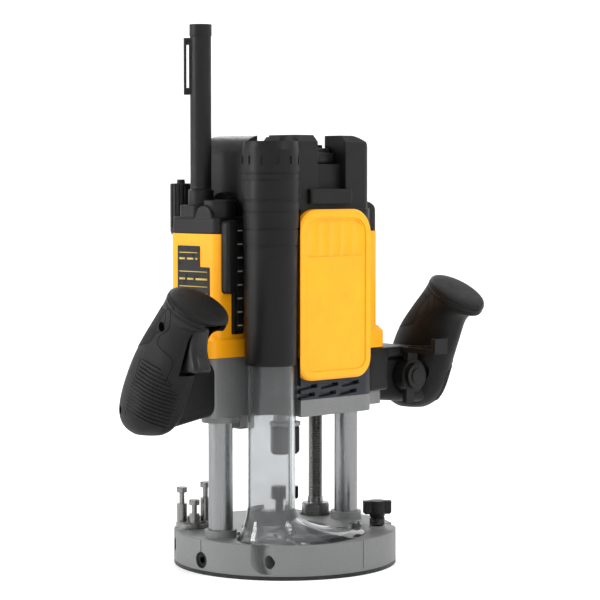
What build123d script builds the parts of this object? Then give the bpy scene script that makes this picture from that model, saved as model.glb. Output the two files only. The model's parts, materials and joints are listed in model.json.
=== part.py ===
from build123d import *
import os
from math import cos, radians, sin

# Plunge router. Millimetres, +Z up. The origin is the centre of the cutter opening, at the base's underside.
# The guide columns and both handles lie along X. The front, with the raised panel, faces -Y.

# ---- driving dimensions -------------------------------------------------------------------------
STROKE = 60.0                       # plunge travel

BASE_R = 85.0                       # round base
BASE_TOP = 26.0
SOLE_T = 3.0                        # sole plate under the base casting
OPENING_R = 33.0                    # cutter opening in the casting
SOLE_OPENING_R = 30.0               # cutter opening in the sole plate
FENCE_Y = 52.0                      # fence rod bores lie at -Y and +Y
FENCE_Z = 13.0
FENCE_BORE_R = 5.1
FENCE_POCKET_X = 64.0               # flat floor of the pocket round each bore mouth
FENCE_POCKET_R = 9.8
SOLE_SCREW_PITCH_R = 76.0
SOLE_SCREW_ANGLES = (20, 160, 200, 340)
SHROUD_SCREWS = ((-48.5, -9.5), (37.5, -38.5))
CLAMP_X = 48.0                      # fence rod thumb-screws

COLUMN_X = 65.5
COLUMN_R = 9.15
COLUMN_BORE_R = 6.6
COLUMN_TOP = 212.0
COLLAR_R = 12.0
COLLAR_TOP = 31.5
FIT = 0.05                          # running clearance on radius
GAP = 0.35                          # clearance between moving pieces that don't guide each other

DEPTH_SCREW = (59.5, 28.5)          # long threaded rod
DEPTH_SCREW_R = 6.0
DEPTH_SCREW_TOP = 172.0
NUT_SEAT = 23.5                     # recess in the base under the rod's nut

TUBE = (-49.6, -38.5)               # dust tube axis
CLEAR_TUBE_R = 17.6
CLEAR_TUBE_WALL = 2.0
CLEAR_TUBE_TOP = 212.0
ADAPTER_BORE_R = 18.0
ADAPTER_BOTTOM = 156.0
ADAPTER_TOP = 320.0
ADAPTER_NOTCH_R = 21.6              # hollow in the housing corner round the adapter
CASTING_NOTCH_R = 22.4              # hollow in the carriage round the clear tube

TURRET = (-51.5, 47.5)
TURRET_R = 13.6
TURRET_TOP = 31.0
TURRET_PIVOT_BOTTOM = 18.8         # stays above the rear fence rod bore
POST_PITCH_R = 9.0
POST_R = 3.9
STOP_SCREW_R = 2.0
STOP_TRAVEL = 6.0

CARRIAGE_BOTTOM = 116.5
BOSS_BOTTOM = 112.0                 # ring round each column below the carriage
BOSS_R = 14.2
CARRIAGE_TOP = 161.0
HOUSING_HALF = 50.0
HOUSING_CORNER_R = 14.0
HOUSING_TOP = 252.0
WALL = 3.0
SKIRT_BOTTOM = 129.0
SKIRT_BACK = -43.2

SIDE_X = 81.0                       # outer faces of the two column housings
SIDE_FLANGE_X = 87.5
FLANGE_TOP = 178.0
LEFT_Y = (-13.0, 40.0)
RIGHT_Y = (-21.0, 45.0)
CASTING_ARM_X = 86.0                # carriage casting, where the handles join it

CAP_HALF = 46.7
CAP_SHOULDER_TOP = 270.0
CAP_TOP = 325.0
CROWN_R = 18.0
CROWN_CORNER_R = 8.0
SUNK_FACE = -40.2                   # Y of the sunk face between the two front posts
CROWN_GAP_BOTTOM = 303.5
CROWN_GAPS = ((-10, 19, -60, 60), (-60, 60, -16, -3), (20, 60, -3, 16), (-60, -31, -60, -16))
CAP_SCREWS = ((33, 33), (-28, 33), (30, -33))

PANEL_FRONT = -56.0
PANEL_X = (-37.5, 38.0)
PANEL_Z = (143.5, 270.0)
FLUTE_PITCH = 11.3                  # shallow grooves at the panel's top
FLUTE_R = 13.0

CORD_GUIDE = (-66.0, 21.0)
CORD_GUIDE_SEAT = 273.0
CORD_GUIDE_TOP = 407.0
DIAL_Y = 12.0                       # speed dial, part sunk in the left of the top cap
DIAL_Z = 272.0
DIAL_R = 10.5
DEPTH_ROD = (-58.0, 53.6)
DEPTH_ROD_R = 4.0

GRIP_X = 134.0                      # centre of each pistol grip's head and neck
GRIP_FOOT_X = 137.0                 # centre of its lower end
HEAD = (-55.2, 203.7)               # Y and Z of the middle of the head's oval top face
HEAD_TILT = 29.5                    # its slope down towards the front, degrees
GRIP_SCREWS = ((-35.5, 189.0), (12.0, 126.5))      # Y and Z of the screws that join its halves
GRIP_SCREW_R = 1.8
GRIP_SCREW_SEAT = 10.0              # underside of each screw head, out from the grip's centre
SHELL = 3.0
TRIGGER_PIVOT = (-53.0, 187.0)      # Y and Z
TRIGGER_HALF = 8.0
LOCK_PIVOT = (111.0, 137.0)         # X and Z of the plunge lock's barrel, which lies along Y
LOCK_SOCKET_R = 13.8                # hollow in the right handle's arm round the lever's hub

SPINDLE_R = 8.5
COLLET_BORE_R = 6.35
NUT_BOTTOM = 82.5
NUT_TOP = 103.8
SPINDLE_LOCK = (10.0, 147.0)        # X and Z of the lock button in the rear face

parts = {}


# ---- helpers ------------------------------------------------------------------------------------
def block(x0, x1, y0, y1, z0, z1):
    """Box between two corners."""
    return Pos((x0 + x1) / 2, (y0 + y1) / 2, (z0 + z1) / 2) * Box(x1 - x0, y1 - y0, z1 - z0)


def rounded_block(x0, x1, y0, y1, z0, z1, r):
    """Box with its four vertical edges rounded."""
    outline = Pos((x0 + x1) / 2, (y0 + y1) / 2, z0) * RectangleRounded(x1 - x0, y1 - y0, r)
    return extrude(outline, z1 - z0, dir=(0, 0, 1))


def square_block(half, z0, z1, r):
    """Square block about the spindle's axis, with its four vertical edges rounded."""
    return rounded_block(-half, half, -half, half, z0, z1, r)


def disc(at, r, z0, z1):
    """Upright cylinder."""
    return Pos(at[0], at[1], (z0 + z1) / 2) * Cylinder(r, z1 - z0)


def ring(at, r_out, r_in, z0, z1):
    return disc(at, r_out, z0, z1) - disc(at, r_in, z0 - 1, z1 + 1)


def bar_x(y, z, r, x0, x1):
    """Cylinder along X."""
    return Pos((x0 + x1) / 2, y, z) * Rot(0, 90, 0) * Cylinder(r, x1 - x0)


def bar_y(x, z, r, y0, y1):
    """Cylinder along Y."""
    return Pos(x, (y0 + y1) / 2, z) * Rot(90, 0, 0) * Cylinder(r, y1 - y0)


def hexagon(at, across_flats, z0, z1):
    outline = Pos(at[0], at[1], z0) * RegularPolygon(across_flats / 2, 6, major_radius=False)
    return extrude(outline, z1 - z0, dir=(0, 0, 1))


def turned(profile, at=(0, 0)):
    """Solid of revolution about an upright axis, from (radius, height) points."""
    face = Plane.XZ * make_face(Polyline(*profile, close=True))
    return Pos(at[0], at[1], 0) * revolve(face, Axis.Z)


def coil(at, r, wire_r, z0, z1, turns):
    """Helical spring between two heights."""
    height = z1 - z0 - 2 * wire_r
    path = Helix(height / turns, height, r)
    start = path @ 0
    section = Plane(origin=start, z_dir=path % 0) * Circle(wire_r)
    return Pos(at[0], at[1], z0 + wire_r) * sweep(section, path=path)


def polar(at, r, degrees):
    return (at[0] + r * cos(radians(degrees)), at[1] + r * sin(radians(degrees)))


def keep(name, shape):
    parts[name] = shape


# ---- base ---------------------------------------------------------------------------------------
def fence_pocket(side_x, side_y):
    """Flat-floored pocket in the rim round a fence rod bore, open to the top."""
    y = side_y * FENCE_Y
    x0, x1 = sorted((side_x * FENCE_POCKET_X, side_x * (BASE_R + 1)))
    lower = bar_x(y, FENCE_Z + 1, FENCE_POCKET_R, x0, x1)
    upper = block(x0, x1, y - FENCE_POCKET_R, y + FENCE_POCKET_R, FENCE_Z + 1, BASE_TOP + 1)
    return lower + upper


def make_base_casting():
    body = disc((0, 0), BASE_R, SOLE_T, BASE_TOP)
    body = chamfer(body.edges().filter_by(GeomType.CIRCLE).sort_by(Axis.Z)[-1], 0.8)
    for x in (-COLUMN_X, COLUMN_X):
        body += disc((x, 0), COLLAR_R, BASE_TOP - 1, COLLAR_TOP)
    for side in (-1, 1):
        body += disc((CLAMP_X, side * FENCE_Y), 6.0, BASE_TOP - 1, BASE_TOP + 1.5)
    body -= disc((0, 0), OPENING_R, 0, BASE_TOP + 1)
    for x in (-COLUMN_X, COLUMN_X):
        body -= disc((x, 0), COLUMN_R, SOLE_T - 1, COLLAR_TOP + 1)
    body -= disc(DEPTH_SCREW, DEPTH_SCREW_R, SOLE_T - 1, BASE_TOP + 1)
    body -= disc(DEPTH_SCREW, 12.5, NUT_SEAT, BASE_TOP + 1)
    body -= disc(TURRET, 4.0, TURRET_PIVOT_BOTTOM, BASE_TOP + 1)
    for side_y in (-1, 1):
        body -= bar_x(side_y * FENCE_Y, FENCE_Z, FENCE_BORE_R, -BASE_R, BASE_R)
        body -= disc((CLAMP_X, side_y * FENCE_Y), 4.0, FENCE_Z, BASE_TOP + 3)
        for side_x in (-1, 1):
            body -= fence_pocket(side_x, side_y)
    for side_x in (-1, 1):                                  # column clamp screw sockets
        x0, x1 = sorted((side_x * 74.0, side_x * (BASE_R + 1)))
        body -= bar_x(0, 10.5, 6.2, x0, x1)
    for angle in (180, 270):                                # engraved centre marks
        body -= Rot(0, 0, angle) * block(BASE_R - 0.7, BASE_R + 1, -0.5, 0.5, SOLE_T + 2, BASE_TOP + 1)
    for angle in SOLE_SCREW_ANGLES:
        body -= disc(polar((0, 0), SOLE_SCREW_PITCH_R, angle), 2.0, SOLE_T - 1, 8.2)
    for at in SHROUD_SCREWS:
        body -= disc(at, 2.0, BASE_TOP - 8, BASE_TOP + 1)
    return body


def make_sole_plate():
    body = disc((0, 0), BASE_R, 0, SOLE_T) - disc((0, 0), SOLE_OPENING_R, -1, SOLE_T + 1)
    for angle in SOLE_SCREW_ANGLES:
        body -= disc(polar((0, 0), SOLE_SCREW_PITCH_R, angle), 4.2, -1, SOLE_T + 1)
    return body


def make_sole_screws():
    screws = []
    for angle in SOLE_SCREW_ANGLES:
        at = polar((0, 0), SOLE_SCREW_PITCH_R, angle)
        screw = disc(at, 4.2, 0.5, SOLE_T) + disc(at, 2.0, SOLE_T - 0.5, 8.2)
        screws.append(screw - hexagon(at, 2.5, 0, 1.8))
    return screws


def make_column(x):
    return ring((x, 0), COLUMN_R, COLUMN_BORE_R, SOLE_T, COLUMN_TOP)


def make_column_clamp_screws():
    screws = []
    for side in (-1, 1):
        x0, x1 = sorted((side * 74.7, side * (BASE_R - 1.5)))
        s0, s1 = sorted((side * (BASE_R - 5), side * BASE_R))
        outline = Pos(s0, 0, 10.5) * Rot(0, 90, 0) * RegularPolygon(2.5, 6, major_radius=False)
        screws.append(bar_x(0, 10.5, 6.2, x0, x1) - extrude(outline, s1 - s0, dir=(1, 0, 0)))
    return screws


def make_threaded_rod():
    """Core with a rounded thread form, drawn as close rings."""
    pitch = 2.0
    r_core = DEPTH_SCREW_R - 0.8
    profile = [(0, SOLE_T), (DEPTH_SCREW_R, SOLE_T), (DEPTH_SCREW_R, BASE_TOP + 14)]
    z = BASE_TOP + 14.0
    while z + pitch < DEPTH_SCREW_TOP:
        profile += [(r_core, z + 0.45 * pitch), (r_core, z + 0.55 * pitch), (DEPTH_SCREW_R, z + pitch)]
        z += pitch
    profile += [(DEPTH_SCREW_R - 1, DEPTH_SCREW_TOP), (0, DEPTH_SCREW_TOP)]
    return turned(profile, DEPTH_SCREW)


def make_rod_nut():
    top = NUT_SEAT + 12
    nut = hexagon(DEPTH_SCREW, 20.0, NUT_SEAT, top)
    nut &= turned([(0, NUT_SEAT), (11.2, NUT_SEAT), (11.2, top - 1.4), (10, top), (0, top)], DEPTH_SCREW)
    return nut - disc(DEPTH_SCREW, DEPTH_SCREW_R, NUT_SEAT - 1, top + 1)


def make_clear_tube():
    return ring(TUBE, CLEAR_TUBE_R, CLEAR_TUBE_R - CLEAR_TUBE_WALL, BASE_TOP + 4, CLEAR_TUBE_TOP)


def flare(thin):
    """Egg-shaped trumpet that opens from the dust tube towards the cutter, shrunk all round by thin."""
    stations = [                       # height, reach right of the tube axis, reach left, reach across
        (50.0, 17.8, 17.8, 17.8),
        (44.0, 21.5, 18.2, 19.6),
        (38.0, 31.0, 19.5, 23.2),
        (32.0, 51.0, 21.5, 29.2),
        (BASE_TOP, 86.0, 24.0, 39.4),
    ]
    sections = []
    for z, right, left, across in stations:
        centre = (right - left) / 2
        outline = Ellipse((right + left) / 2 - thin, across - thin)
        sections.append(Pos(TUBE[0] + centre, TUBE[1], z - thin) * outline)
    return loft(sections)


def make_shroud():
    wall = 2.4
    outer = flare(0.0)
    inner = flare(wall)
    zone = block(-80, 60, -90, -16.0, BASE_TOP, 60)
    shell = (outer - inner) & ring((0, 0), BASE_R - 1, 48.0 + wall, BASE_TOP, 60) & zone
    wall_in = outer & ring((0, 0), 48.0 + wall, 48.0, BASE_TOP, 60) & zone
    wall_out = outer & ring((0, 0), BASE_R - 1, BASE_R - 1 - wall, BASE_TOP, 60) & zone
    body = shell + wall_in + wall_out
    body += block(-53.0, -44.0, -17.0, -4.5, BASE_TOP, BASE_TOP + 2.5)
    body += disc(SHROUD_SCREWS[1], 5.0, BASE_TOP, BASE_TOP + 2.5)
    body -= disc(TUBE, CLEAR_TUBE_R, BASE_TOP, 60)
    body -= disc((-COLUMN_X, 0), COLLAR_R + 0.3, BASE_TOP, 60)
    for at in SHROUD_SCREWS:
        body -= disc(at, 2.0, BASE_TOP - 1, BASE_TOP + 8)
    return body


def make_shroud_screws():
    screws = []
    for at in SHROUD_SCREWS:
        head_z = BASE_TOP + 2.5
        head = disc(at, 3.8, head_z, head_z + 2.4)
        head = fillet(head.edges().filter_by(GeomType.CIRCLE).sort_by(Axis.Z)[-1], 1.0)
        head -= block(at[0] - 5, at[0] + 5, at[1] - 0.5, at[1] + 0.5, head_z + 1.4, head_z + 3)
        screws.append(head + disc(at, 2.0, BASE_TOP - 8, head_z))
    return screws


def make_clamp_springs():
    return [coil((CLAMP_X, side * FENCE_Y), 5.2, 0.7, BASE_TOP + 1.5, 34.0, 5) for side in (-1, 1)]


def make_clamp_knob(side):
    """Wing-headed thumb-screw that presses on a fence rod."""
    at = (CLAMP_X, side * FENCE_Y)
    body = disc(at, 4.0 - FIT, FENCE_Z + FENCE_BORE_R + 0.3, 38.0)
    body += turned([(0, 34.0), (5.4, 34.0), (6.4, 37.5), (6.4, 46.8), (0, 46.8)], at)
    wing = rounded_block(-10.8, 10.8, -3.6, 3.6, 36.5, 46.6, 1.8)
    wing = chamfer(wing.faces().sort_by(Axis.Z)[0].edges(), 1.2)
    return body + Pos(at[0], at[1], 0) * Rot(0, 0, -34) * wing


def make_turret_pivot():
    body = disc(TURRET, 4.0, TURRET_PIVOT_BOTTOM, TURRET_TOP + 0.3)
    head = disc(TURRET, 4.9, TURRET_TOP + 0.3, TURRET_TOP + 3.3)
    return body + head - hexagon(TURRET, 3.0, TURRET_TOP + 1.3, TURRET_TOP + 4)


# Angle of each stop post about the turret's axis, top of its post, and underside of its screw's head.
STOP_POSTS = {
    "tall": (-43.3, 48.5, 56.6),
    "middle": (136.7, 44.0, 52.6),
    "short": (233.0, 37.6, 44.2),
}


def make_turret_disc():
    body = turned([(0, BASE_TOP + 0.3), (TURRET_R, BASE_TOP + 0.3), (TURRET_R, TURRET_TOP - 1.5),
                   (TURRET_R - 1.5, TURRET_TOP), (0, TURRET_TOP)], TURRET)
    for angle, post_top, _ in STOP_POSTS.values():
        body += disc(polar(TURRET, POST_PITCH_R, angle), POST_R, TURRET_TOP - 1, post_top)
    for angle, post_top, _ in STOP_POSTS.values():
        body -= disc(polar(TURRET, POST_PITCH_R, angle), STOP_SCREW_R + FIT, BASE_TOP, post_top + 1)
    body -= disc(TURRET, 4.0 + FIT, BASE_TOP, TURRET_TOP + 1)
    return body - disc(TURRET, 5.2, TURRET_TOP, 60)


def make_stop_screw(which):
    angle, _, head = STOP_POSTS[which]
    at = polar(TURRET, POST_PITCH_R, angle)
    body = disc(at, STOP_SCREW_R, 33.0, head + 1) + disc(at, 4.0, head, head + 4.0)
    return body - block(at[0] - 5, at[0] + 5, at[1] - 0.5, at[1] + 0.5, head + 2.8, head + 5)


# ---- carriage -----------------------------------------------------------------------------------
def housing_outline(z0, z1, inset=0.0):
    """Square motor housing with a hollow in its front left corner for the dust tube."""
    half = HOUSING_HALF - inset
    body = square_block(half, z0, z1, HOUSING_CORNER_R - inset)
    return body - disc(TUBE, ADAPTER_NOTCH_R + inset, z0 - 1, z1 + 1)


def make_carriage_casting():
    z0, z1 = CARRIAGE_BOTTOM, CARRIAGE_TOP
    body = square_block(HOUSING_HALF, z0, z1, HOUSING_CORNER_R)
    body += rounded_block(-CASTING_ARM_X, -40, *LEFT_Y, z0, z1, 6)
    body += rounded_block(40, CASTING_ARM_X, *RIGHT_Y, z0, z1, 6)
    for x in (-COLUMN_X, COLUMN_X):
        body += disc((x, 0), BOSS_R, BOSS_BOTTOM, z0)
    body += chamfer(block(-53, -43, -8, 4, 105.8, z0).faces().sort_by(Axis.Z)[0].edges(), 1.5)
    body += disc(DEPTH_ROD, 9.0, 136, 158)
    body += block(-62, -40, 30, 50, 136, 158)
    body -= disc(TUBE, CASTING_NOTCH_R, z0 - 1, z1 + 1)
    body -= block(-60, 60, -60, SKIRT_BACK, SKIRT_BOTTOM, z1 + 1)
    body -= disc(TURRET, 17.0, z0 - 1, 135)
    body -= disc((0, 0), 39.5, 134, z1 + 1)
    body -= disc((0, 0), 17.5, 120, 135)
    body -= disc((0, 0), 13.5, z0 - 1, 121)
    for x in (-COLUMN_X, COLUMN_X):
        body -= disc((x, 0), COLLAR_R, BOSS_BOTTOM - 1, z1 + 1)
    body -= disc(DEPTH_SCREW, 9.0, z0 - 1, 130)
    body -= disc(DEPTH_SCREW, DEPTH_SCREW_R + GAP, z0 - 1, z1 + 1)
    body -= disc(DEPTH_ROD, DEPTH_ROD_R + FIT, 130, z1)
    body -= bar_y(DEPTH_ROD[0], 147, 3.0, DEPTH_ROD[1], 70)
    body -= bar_y(*SPINDLE_LOCK, 4.5 + FIT, 38, 60)
    return body


def make_column_bushes():
    bushes = []
    for x in (-COLUMN_X, COLUMN_X):
        bushes.append(ring((x, 0), COLLAR_R, COLUMN_R + FIT, BOSS_BOTTOM, CARRIAGE_TOP))
    return bushes


def make_rod_guide_bush():
    bush = ring(DEPTH_SCREW, 9.0, DEPTH_SCREW_R + FIT, CARRIAGE_BOTTOM, 130)
    return bush + ring(DEPTH_SCREW, 8.0, DEPTH_SCREW_R + FIT, CARRIAGE_BOTTOM - 3.5, CARRIAGE_BOTTOM)


def make_vent_skirt():
    """Vented front of the lower motor housing."""
    z0, z1 = SKIRT_BOTTOM, CARRIAGE_TOP
    body = square_block(HOUSING_HALF, z0, z1, HOUSING_CORNER_R)
    body &= block(-60, 60, -60, SKIRT_BACK, z0, z1)
    body -= disc(TUBE, CASTING_NOTCH_R, z0 - 1, z1 + 1)
    for row, z in enumerate((132.2, 138.4)):
        for column in range(3):
            x = -25.0 + 21.8 * column + 2.5 * row
            body -= Pos(x, SKIRT_BACK, z) * Rot(0, -5, 0) * Box(18.0, 20, 3.0)
    return body


def make_motor_housing():
    z0, z1 = CARRIAGE_TOP, HOUSING_TOP
    body = housing_outline(z0, z1) - housing_outline(z0 - 1, z1 + 1, WALL)
    body += housing_outline(z0, z0 + WALL) - disc((0, 0), 39.0, z0 - 1, z0 + WALL + 1)
    return body


def side_housing(side, y_range):
    """Housing of one guide column and what lies beside it, with a wider foot."""
    y0, y1 = y_range
    x0, x1 = sorted((side * HOUSING_HALF, side * SIDE_X))
    f0, f1 = sorted((side * HOUSING_HALF, side * SIDE_FLANGE_X))
    body = rounded_block(x0, x1, y0, y1, CARRIAGE_TOP, HOUSING_TOP, 6)
    foot = rounded_block(f0, f1, y0 - 1.5, y1 + 2, CARRIAGE_TOP, FLANGE_TOP, 6)
    body += chamfer(foot.faces().sort_by(Axis.Z)[-1].edges(), 4.2)
    inner = block(x0 + WALL, x1 - WALL, y0 + WALL, y1 - WALL, CARRIAGE_TOP + WALL, HOUSING_TOP - WALL)
    body -= inner
    body -= disc((side * COLUMN_X, 0), COLUMN_R + GAP, CARRIAGE_TOP - 1, HOUSING_TOP + 1)
    body -= square_block(HOUSING_HALF, CARRIAGE_TOP - 1, HOUSING_TOP + 1, HOUSING_CORNER_R)
    return body


def make_side_housing_left():
    body = side_housing(-1, LEFT_Y)
    return body - disc(TUBE, ADAPTER_NOTCH_R, 150, 260)


def make_side_housing_right():
    body = side_housing(1, RIGHT_Y)
    return body - disc(DEPTH_SCREW, DEPTH_SCREW_R + GAP, 150, 235)


def side_cap(side, y_range, top, round_r):
    """Cover over one guide column's housing, rounded along its outer upper edge."""
    y0, y1 = y_range[0] + 0.6, y_range[1] - 0.6
    x0, x1 = sorted((side * (HOUSING_HALF - 3.6), side * (SIDE_X - 0.6)))
    outline = Plane.XZ * Pos((x0 + x1) / 2, (HOUSING_TOP + top) / 2) * Rectangle(x1 - x0, top - HOUSING_TOP)
    upper_corners = outline.vertices().group_by(Axis.Z)[-1]
    outline = fillet(upper_corners.sort_by(Axis.X)[0 if side < 0 else -1], round_r)
    body = Pos(0, y1, 0) * extrude(outline, y1 - y0, dir=(0, -1, 0))
    body &= rounded_block(x0, x1, y0, y1, HOUSING_TOP, top, 5.4)
    bore_top = COLUMN_TOP + STROKE + 2
    body += disc((side * COLUMN_X, 0), 12.0, HOUSING_TOP, bore_top + 3)
    body -= disc((side * COLUMN_X, 0), COLUMN_R + GAP, HOUSING_TOP - 1, bore_top)
    return body - top_cap_zone()


def top_cap_zone():
    """Space that the top cap takes."""
    upper = square_block(CAP_HALF, HOUSING_TOP, CAP_TOP, CROWN_CORNER_R)
    return upper + square_block(HOUSING_HALF - 0.6, HOUSING_TOP - 1, CAP_SHOULDER_TOP, HOUSING_CORNER_R - 0.6)


def make_side_cap_left():
    """Lower cover with a block that holds the cord guide, and an arch over the column."""
    body = side_cap(-1, LEFT_Y, 264.5, 3.0)
    body += rounded_block(-SIDE_X + 2, -54, 11.5, 33, HOUSING_TOP + 4, CORD_GUIDE_SEAT, 5)
    body += bar_x(2.5, 264.0, 9.0, -SIDE_X + 1.2, -60) & block(-SIDE_X, -50, -15, 20, 264, 280)
    body -= disc((-COLUMN_X, 0), COLUMN_R + GAP, HOUSING_TOP - 1, COLUMN_TOP + STROKE + 2)
    body -= disc(CORD_GUIDE, 7.9, 266.5, 290) + disc(CORD_GUIDE, 9.6, CORD_GUIDE_SEAT, 290)
    body -= bar_x(DIAL_Y, DIAL_Z, DIAL_R + 0.6, -54.9, -40)
    return body - top_cap_zone()


def make_side_cap_right():
    return side_cap(1, RIGHT_Y, 275.0, 14.0)


def crown():
    """Upper block of the top cap, well rounded along its left and right upper edges."""
    width, height = 2 * CAP_HALF, CAP_TOP - CAP_SHOULDER_TOP
    middle = (CAP_TOP + CAP_SHOULDER_TOP) / 2
    front = Plane.XZ * Pos(0, middle) * Rectangle(width, height)
    front = fillet(front.vertices().group_by(Axis.Z)[-1], CROWN_R)
    side = Plane.YZ * Pos(0, middle) * Rectangle(width, height)
    side = chamfer(side.vertices().group_by(Axis.Z)[-1], 5.0)
    body = square_block(CAP_HALF, CAP_SHOULDER_TOP, CAP_TOP, CROWN_CORNER_R)
    body &= Pos(0, CAP_HALF, 0) * extrude(front, width, dir=(0, -1, 0))
    return body & Pos(-CAP_HALF, 0, 0) * extrude(side, width, dir=(1, 0, 0))


def make_top_cap():
    """Black motor end cap with a shoulder, a front boss and a vented crown between its corner posts."""
    body = housing_outline(HOUSING_TOP, CAP_SHOULDER_TOP, 0.6) + crown()
    body += rounded_block(-20, 23, -50.6, -40, 274, 285, 2)
    body -= disc(TUBE, ADAPTER_NOTCH_R, 200, 340)
    for x0, x1, y0, y1 in CROWN_GAPS:
        body -= block(x0, x1, y0, y1, CROWN_GAP_BOTTOM, CAP_TOP + 1)
    body -= block(-9.5, 19, -60, SUNK_FACE, 285, CAP_TOP + 1)
    body -= disc((0, 0), 31.0, 299, CAP_TOP + 1)
    for r in (28.5, 22.5, 16.5, 10.5):                       # vent ribs
        body += ring((0, 0), r, r - 2.6, 298, 318 - 0.1 * (28.5 - r))
    body += block(-28, 28, -1.5, 1.5, 298, 314) + block(-1.5, 1.5, -28, 28, 298, 314)
    cavity = square_block(CAP_HALF - WALL, HOUSING_TOP - 1, 298, CROWN_CORNER_R)
    cavity -= disc(TUBE, ADAPTER_NOTCH_R + WALL, 200, 340)
    cavity -= block(-9.5 - WALL, 19 + WALL, -60, SUNK_FACE + WALL, 280, 300)
    body -= cavity - ring((0, 0), 20.0, 12.0, 282, 299)
    body -= bar_x(DIAL_Y, DIAL_Z, DIAL_R + 0.6, -60, -47.0)
    for at in CAP_SCREWS:
        body -= disc(at, 3.6, 300, CAP_TOP + 1)
    return body


def panel_prism(inset, y0, y1):
    """Front panel outline, larger corners at the top, between two Y planes."""
    x0, x1 = PANEL_X[0] + inset, PANEL_X[1] - inset
    z0, z1 = PANEL_Z[0] + inset, PANEL_Z[1] - inset
    outline = Plane.XZ * Pos((x0 + x1) / 2, (z0 + z1) / 2) * Rectangle(x1 - x0, z1 - z0)
    outline = fillet(outline.vertices().group_by(Axis.Z)[-1], 19 - inset)
    outline = fillet(outline.vertices().group_by(Axis.Z)[0], 15 - inset)
    return Pos(0, y1, 0) * extrude(outline, y1 - y0, dir=(0, -1, 0))


def make_front_panel():
    body = panel_prism(0, PANEL_FRONT, -HOUSING_HALF)
    rim = body.faces().sort_by(Axis.Y)[0].edges()
    body = chamfer(rim, 1.6)
    field = panel_prism(6.5, PANEL_FRONT - 1, PANEL_FRONT + 0.9)
    flutes = Part()
    for column in (-2, -1, 0, 1, 2):
        flutes += disc((FLUTE_PITCH * column, PANEL_FRONT + 2.2 - FLUTE_R), FLUTE_R, 235, 290)
    body -= field
    body -= panel_prism(8.0, PANEL_FRONT - 1, PANEL_FRONT + 4) & flutes
    return body - disc(TUBE, ADAPTER_NOTCH_R, 100, 300)


def make_scale_channel():
    """Upright cover beside the depth scale, and the sunk backing of the scale."""
    bar = rounded_block(-80.0, -64, -20.0, -6, 212, 262, 4)
    body = chamfer(bar.faces().sort_by(Axis.Z)[0].edges(), 3.0)
    body += block(-66, -56, -16.0, -13.0, 178, 262)
    return body - side_block_left() - disc(TUBE, ADAPTER_NOTCH_R, 100, 300)


def side_block_left():
    """Outer form of the left column housing and its cap, without their bores."""
    body = rounded_block(-SIDE_X, -HOUSING_HALF, *LEFT_Y, CARRIAGE_TOP, HOUSING_TOP, 6)
    body += rounded_block(-SIDE_X + 0.6, -46.4, LEFT_Y[0] + 0.6, LEFT_Y[1] - 0.6, HOUSING_TOP, 264.5, 5.4)
    foot = rounded_block(-SIDE_FLANGE_X, -HOUSING_HALF, LEFT_Y[0] - 1.5, LEFT_Y[1] + 2, CARRIAGE_TOP,
                         FLANGE_TOP, 6)
    return body + foot


def make_scale_strip():
    body = block(-63.5, -57.5, -16.7, -16.0, 181, 260)
    for index in range(8):
        body += block(-63.0, -58.5, -17.0, -16.6, 184 + 10.0 * index, 185 + 10.0 * index)
    return body


def make_rating_plate():
    """Stepped plate, narrower at its top."""
    x0, x1 = -SIDE_X - 0.7, -SIDE_X
    body = block(x0, x1, -6.0, 29.6, 188, 227.5) + block(x0, x1, 4.9, 29.6, 227.5, 243)
    return fillet(body.edges().filter_by(Axis.X), 1.0)


def make_cord_guide():
    """Tall open tube that holds the cord clear, with a strap loop near its top."""
    x, y = CORD_GUIDE
    body = disc(CORD_GUIDE, 7.9, 266.5, CORD_GUIDE_TOP)
    seat, top = CORD_GUIDE_SEAT, CORD_GUIDE_TOP
    body += turned([(0, seat), (9.6, seat), (9.6, 284), (7.9, 285), (0, 285)], CORD_GUIDE)
    body += turned([(0, 398), (7.9, 398), (8.3, 399), (8.3, top), (0, top)], CORD_GUIDE)
    loop = rounded_block(0, 12.6, -2.4, 2.4, 355, 397, 1.5)
    loop -= block(8.6, 10.6, -5, 5, 360, 392)
    body += Pos(x, y, 0) * Rot(0, 0, 136.7) * loop
    return body - disc(CORD_GUIDE, 5.6, 284, CORD_GUIDE_TOP + 1)


def make_dust_adapter():
    """Black dust tube that slides over the clear one, with grip grooves and an open top."""
    top = ADAPTER_TOP
    profile = [(18.8, ADAPTER_BOTTOM), (19.4, ADAPTER_BOTTOM + 2), (19.7, 200), (20.2, 245), (20.6, 262),
               (21.0, 280), (21.0, top - 6), (19.9, top), (18.6, top), (18.6, 287), (ADAPTER_BORE_R, 284),
               (ADAPTER_BORE_R, ADAPTER_BOTTOM)]
    body = turned(profile, TUBE)
    for z, depth in ((296.5, 0.9), (292.0, 0.5), (277.0, 0.6), (268.6, 0.6), (256.0, 0.5), (243.7, 0.5)):
        body -= ring(TUBE, 23, 20.9 - depth if z > 262 else 20.3 - depth, z - 0.6, z + 0.6)
    for index in range(12):
        body -= Pos(*TUBE, 0) * Rot(0, 0, 30 * index) * block(20.2, 22, -1.2, 1.2, 303, 309)
    return body


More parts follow.
